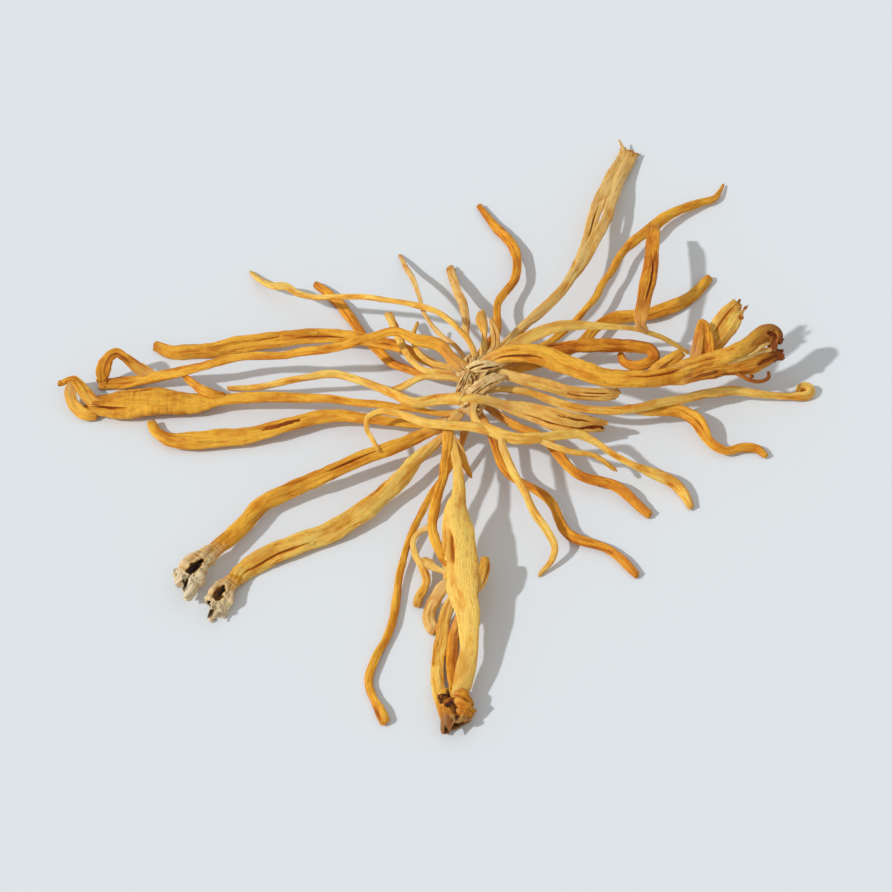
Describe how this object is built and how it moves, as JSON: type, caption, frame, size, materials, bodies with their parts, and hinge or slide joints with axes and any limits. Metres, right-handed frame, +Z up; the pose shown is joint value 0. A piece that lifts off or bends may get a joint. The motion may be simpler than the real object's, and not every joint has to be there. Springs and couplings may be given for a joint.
{
  "type": "dried cordyceps",
  "caption": "Dried cordyceps tuft: flattened golden-orange stems with curled, clubbed and forked tips fan out from one pale fibrous base and lie on a table with the base up.",
  "frame": {"origin": "on the table, under the middle of the whole tuft's bounding box", "axes": "+Z up from the table, +Y away from the viewer of the picture, +X to the right"},
  "size_m": [0.1936, 0.1896, 0.0195],
  "materials": {
    "dried_stem": "matte dried stem, golden orange with darker lengthwise grooves",
    "dried_base": "matte crushed fibre, pale grey-beige",
    "dried_head": "matte and grainy, red-brown"
  },
  "bodies": {
    "root": {"base": "dried_base", "stem_left_long": "dried_stem", "curl_left_long": "dried_stem", "stem_left_short": "dried_stem", "stem_left_club": "dried_stem", "curl_club_upper": "dried_stem", "curl_club_lower": "dried_stem", "stem_left_lower": "dried_stem", "stem_left_twin_long": "dried_stem", "stem_left_twin_short": "dried_stem", "stem_left_band": "dried_stem", "stem_left_upper": "dried_stem", "stem_left_diagonal": "dried_stem", "stem_up_left_long": "dried_stem", "stem_up_short": "dried_stem", "stem_up_left_thin": "dried_stem", "stub_round_head": "dried_stem", "stub_flat": "dried_stem", "stem_up_right_ribbed": "dried_stem", "stem_up_right_pale": "dried_stem", "pale_fork_upright": "dried_stem", "stem_up_right_hook": "dried_stem", "stem_right_broad": "dried_stem", "broad_lobe_upper": "dried_stem", "broad_lobe_lower": "dried_stem", "stem_right_mid": "dried_stem", "stem_right_thin": "dried_stem", "stem_right_lower": "dried_stem", "broad_fork_nub": "dried_stem", "broad_fork_loop": "dried_stem", "broad_fork_blade": "dried_stem", "thin_fork_curl": "dried_stem", "stem_right_curl": "dried_stem", "stem_down_left": "dried_stem", "stem_down_blade": "dried_stem", "fork_short": "dried_stem", "fork_loop": "dried_stem", "fork_knob": "dried_stem", "fork_lower": "dried_stem", "fork_ear": "dried_stem", "head_down": "dried_head", "strand_down_left": "dried_stem", "strand_down_mid": "dried_stem", "stem_cross_right": "dried_stem", "stem_cross_left": "dried_stem", "cross_fork_long": "dried_stem", "cross_fork_short": "dried_stem", "stem_low_left_upper": "dried_stem", "stem_low_left_lower": "dried_stem", "stem_down_thin": "dried_stem", "under_up": "dried_stem", "under_right_up": "dried_stem", "under_right_low": "dried_stem", "under_right_down": "dried_stem"}
  },
  "joints": []
}
